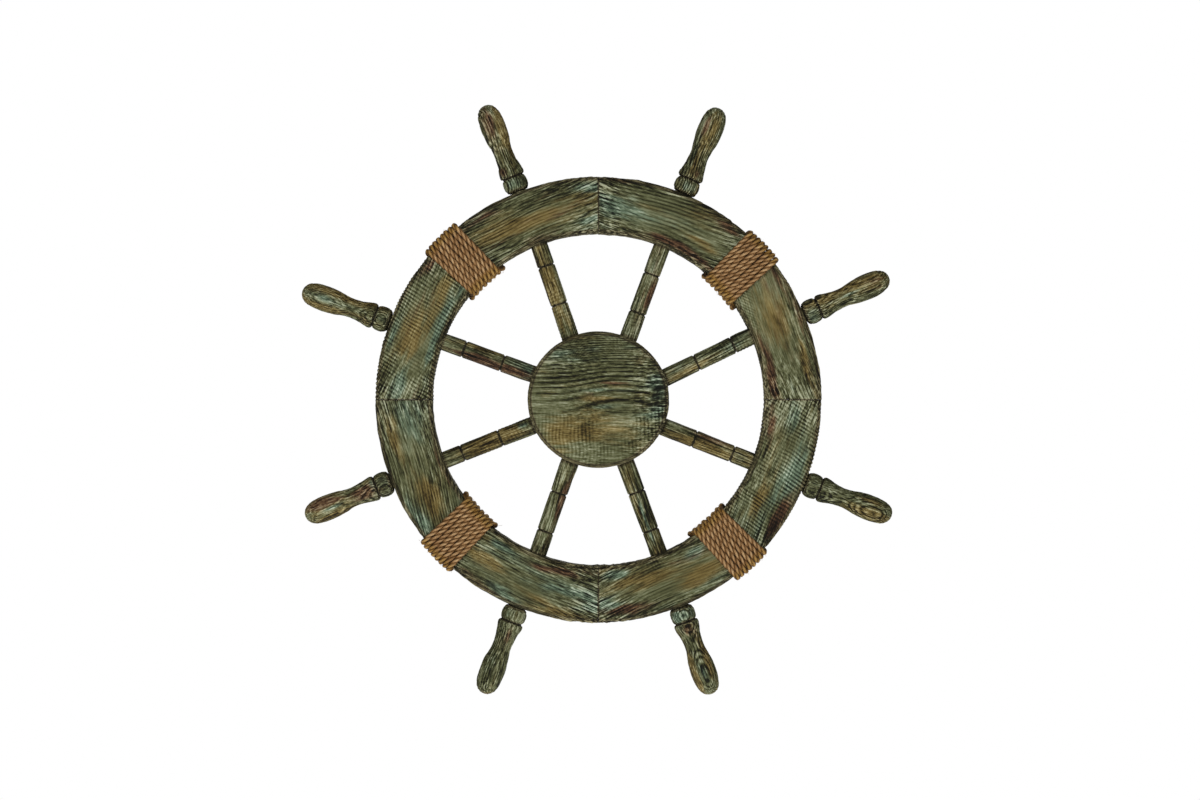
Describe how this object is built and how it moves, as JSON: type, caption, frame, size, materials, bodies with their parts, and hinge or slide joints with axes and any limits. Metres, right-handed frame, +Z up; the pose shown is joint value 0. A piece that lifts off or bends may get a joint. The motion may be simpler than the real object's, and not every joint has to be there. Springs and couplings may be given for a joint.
{
  "type": "ship steering wheel",
  "caption": "Wooden ship's wheel for a wall: solid hub, turned spokes and handles, segmented rim with rope seizings, D-ring hanger on the back.",
  "frame": {"origin": "centre of the hub's back face, the plane that rests on the wall", "axes": "+Z up as the wheel hangs, +Y out of the back towards the wall, so the front faces -Y; +X to the right as seen from the front"},
  "size_m": [0.5705, 0.038, 0.57],
  "materials": {
    "painted_rim_wood": "distressed olive and blue-grey paint, dry brushed over sawn grain",
    "painted_turned_wood": "distressed olive paint worn through to brown stained wood",
    "bare_dowel_wood": "bare fluted beech",
    "jute_rope": "three-strand twisted natural fibre",
    "zinc_plated_steel": "bright zinc plate"
  },
  "bodies": {
    "wheel": {"hub": "painted_rim_wood", "felloe_1": "painted_rim_wood", "felloe_2": "painted_rim_wood", "felloe_3": "painted_rim_wood", "felloe_4": "painted_rim_wood", "felloe_5": "painted_rim_wood", "felloe_6": "painted_rim_wood", "felloe_7": "painted_rim_wood", "felloe_8": "painted_rim_wood", "spoke_1": "painted_turned_wood", "spoke_2": "painted_turned_wood", "spoke_3": "painted_turned_wood", "spoke_4": "painted_turned_wood", "spoke_5": "painted_turned_wood", "spoke_6": "painted_turned_wood", "spoke_7": "painted_turned_wood", "spoke_8": "painted_turned_wood", "handle_1": "painted_turned_wood", "handle_2": "painted_turned_wood", "handle_3": "painted_turned_wood", "handle_4": "painted_turned_wood", "handle_5": "painted_turned_wood", "handle_6": "painted_turned_wood", "handle_7": "painted_turned_wood", "handle_8": "painted_turned_wood", "rim_dowel_1_inner": "bare_dowel_wood", "rim_dowel_1_outer": "bare_dowel_wood", "rim_dowel_2_inner": "bare_dowel_wood", "rim_dowel_2_outer": "bare_dowel_wood", "rim_dowel_3_inner": "bare_dowel_wood", "rim_dowel_3_outer": "bare_dowel_wood", "rim_dowel_4_inner": "bare_dowel_wood", "rim_dowel_4_outer": "bare_dowel_wood", "rim_dowel_5_inner": "bare_dowel_wood", "rim_dowel_5_outer": "bare_dowel_wood", "rim_dowel_6_inner": "bare_dowel_wood", "rim_dowel_6_outer": "bare_dowel_wood", "rim_dowel_7_inner": "bare_dowel_wood", "rim_dowel_7_outer": "bare_dowel_wood", "rim_dowel_8_inner": "bare_dowel_wood", "rim_dowel_8_outer": "bare_dowel_wood", "rope_seizing_1": "jute_rope", "rope_seizing_2": "jute_rope", "rope_seizing_3": "jute_rope", "rope_seizing_4": "jute_rope", "hanger_plate": "zinc_plated_steel", "hanger_screw_left": "zinc_plated_steel", "hanger_screw_right": "zinc_plated_steel"},
    "ring": {"hanger_ring": "zinc_plated_steel"}
  },
  "joints": [
    {"name": "ring_hinge", "type": "hinge", "parent": "wheel", "child": "ring", "pos_m": [0, -0.0034, 0.1935], "axis": [1, 0, 0], "range_deg": [0, 180]}
  ]
}
